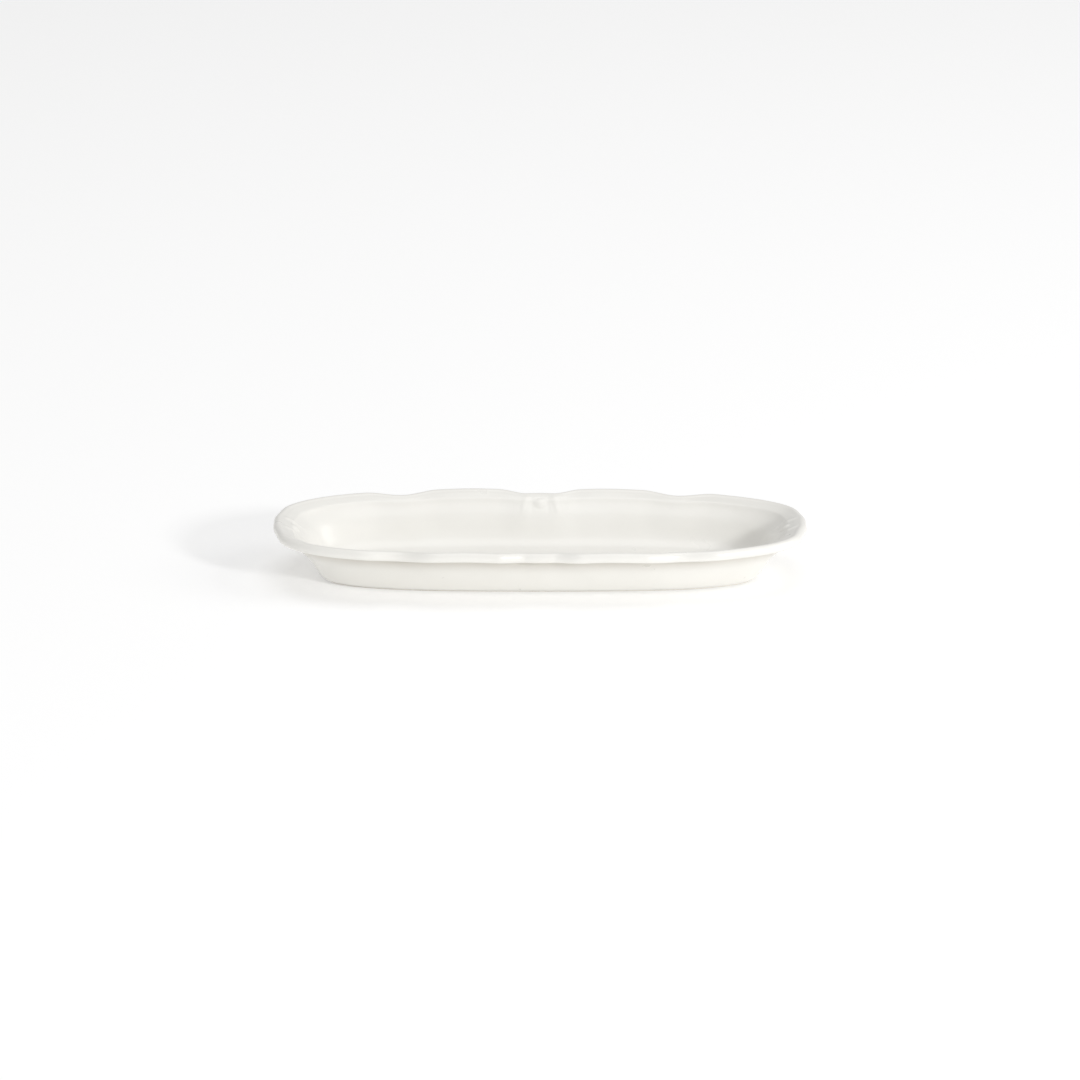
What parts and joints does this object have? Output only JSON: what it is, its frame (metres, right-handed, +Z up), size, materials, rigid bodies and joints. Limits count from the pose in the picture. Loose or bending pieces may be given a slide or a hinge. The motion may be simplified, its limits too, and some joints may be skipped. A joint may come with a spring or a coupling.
{
  "type": "serving dish",
  "caption": "Long scalloped serving dish of white glazed clay with a rolled lip, a foot ring and a small relief of a pearl between ribs inside each side and end.",
  "frame": {"origin": "on the table, under the middle of the dish", "axes": "+X along the dish, +Y across it, +Z up out of the well"},
  "size_m": [0.35, 0.1498, 0.037],
  "materials": {
    "glaze": "glossy warm white glaze",
    "bare_clay": "matt unglazed clay on the bearing face"
  },
  "bodies": {
    "root": {"dish_body": "glaze", "rolled_lip": "glaze", "foot_ring": "bare_clay", "front_relief": "glaze", "back_relief": "glaze", "left_relief": "glaze", "right_relief": "glaze"}
  },
  "joints": []
}
